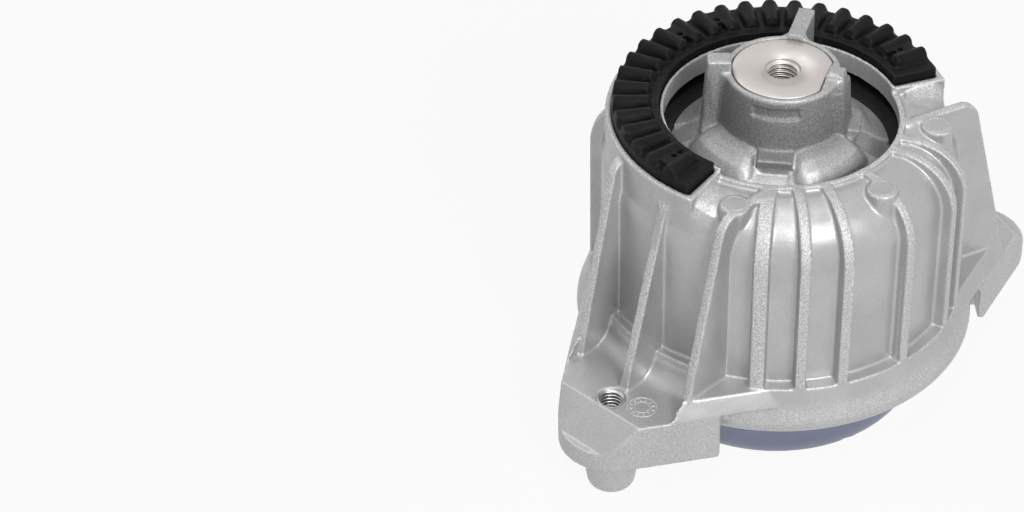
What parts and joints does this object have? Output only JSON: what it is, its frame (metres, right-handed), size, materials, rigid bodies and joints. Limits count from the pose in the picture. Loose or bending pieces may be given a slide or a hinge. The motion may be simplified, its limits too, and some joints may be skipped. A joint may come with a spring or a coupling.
{
  "type": "engine mount",
  "caption": "Hydraulic engine mount: ribbed cast housing with two bolt ears, rubber spring and stop pad, threaded core and round steel cap.",
  "frame": {"origin": "centre of the steel cap's flat face, on the mount's axis", "axes": "+Z along the mount's axis from the cap to the core, +X from one ear towards the other, -Y the side that the ears droop towards"},
  "size_m": [0.1768, 0.1208, 0.119],
  "materials": {
    "cast_housing": "satin die casting",
    "cast_core": "grainy cast",
    "insert_steel": "fine turned",
    "thread_steel": "satin",
    "pad_rubber": "matte",
    "spring_rubber": "matte",
    "coated_steel": "black coating",
    "plate_aluminium": "satin",
    "cap_steel": "blue-grey passivated, satin"
  },
  "bodies": {
    "root": {"housing": "cast_housing", "core": "cast_core", "core_insert": "insert_steel", "ear_insert_left": "thread_steel", "ear_insert_right": "thread_steel", "stop_pad": "pad_rubber", "outer_sleeve": "coated_steel", "spring_ring": "coated_steel", "main_spring": "spring_rubber", "rebound_stop": "spring_rubber", "track_seal": "spring_rubber", "upper_channel_plate": "plate_aluminium", "lower_channel_plate": "plate_aluminium", "decoupler": "spring_rubber", "fill_plug": "plate_aluminium", "diaphragm_ring": "coated_steel", "diaphragm": "spring_rubber", "cap": "cap_steel", "edge_seal": "spring_rubber"}
  },
  "joints": []
}
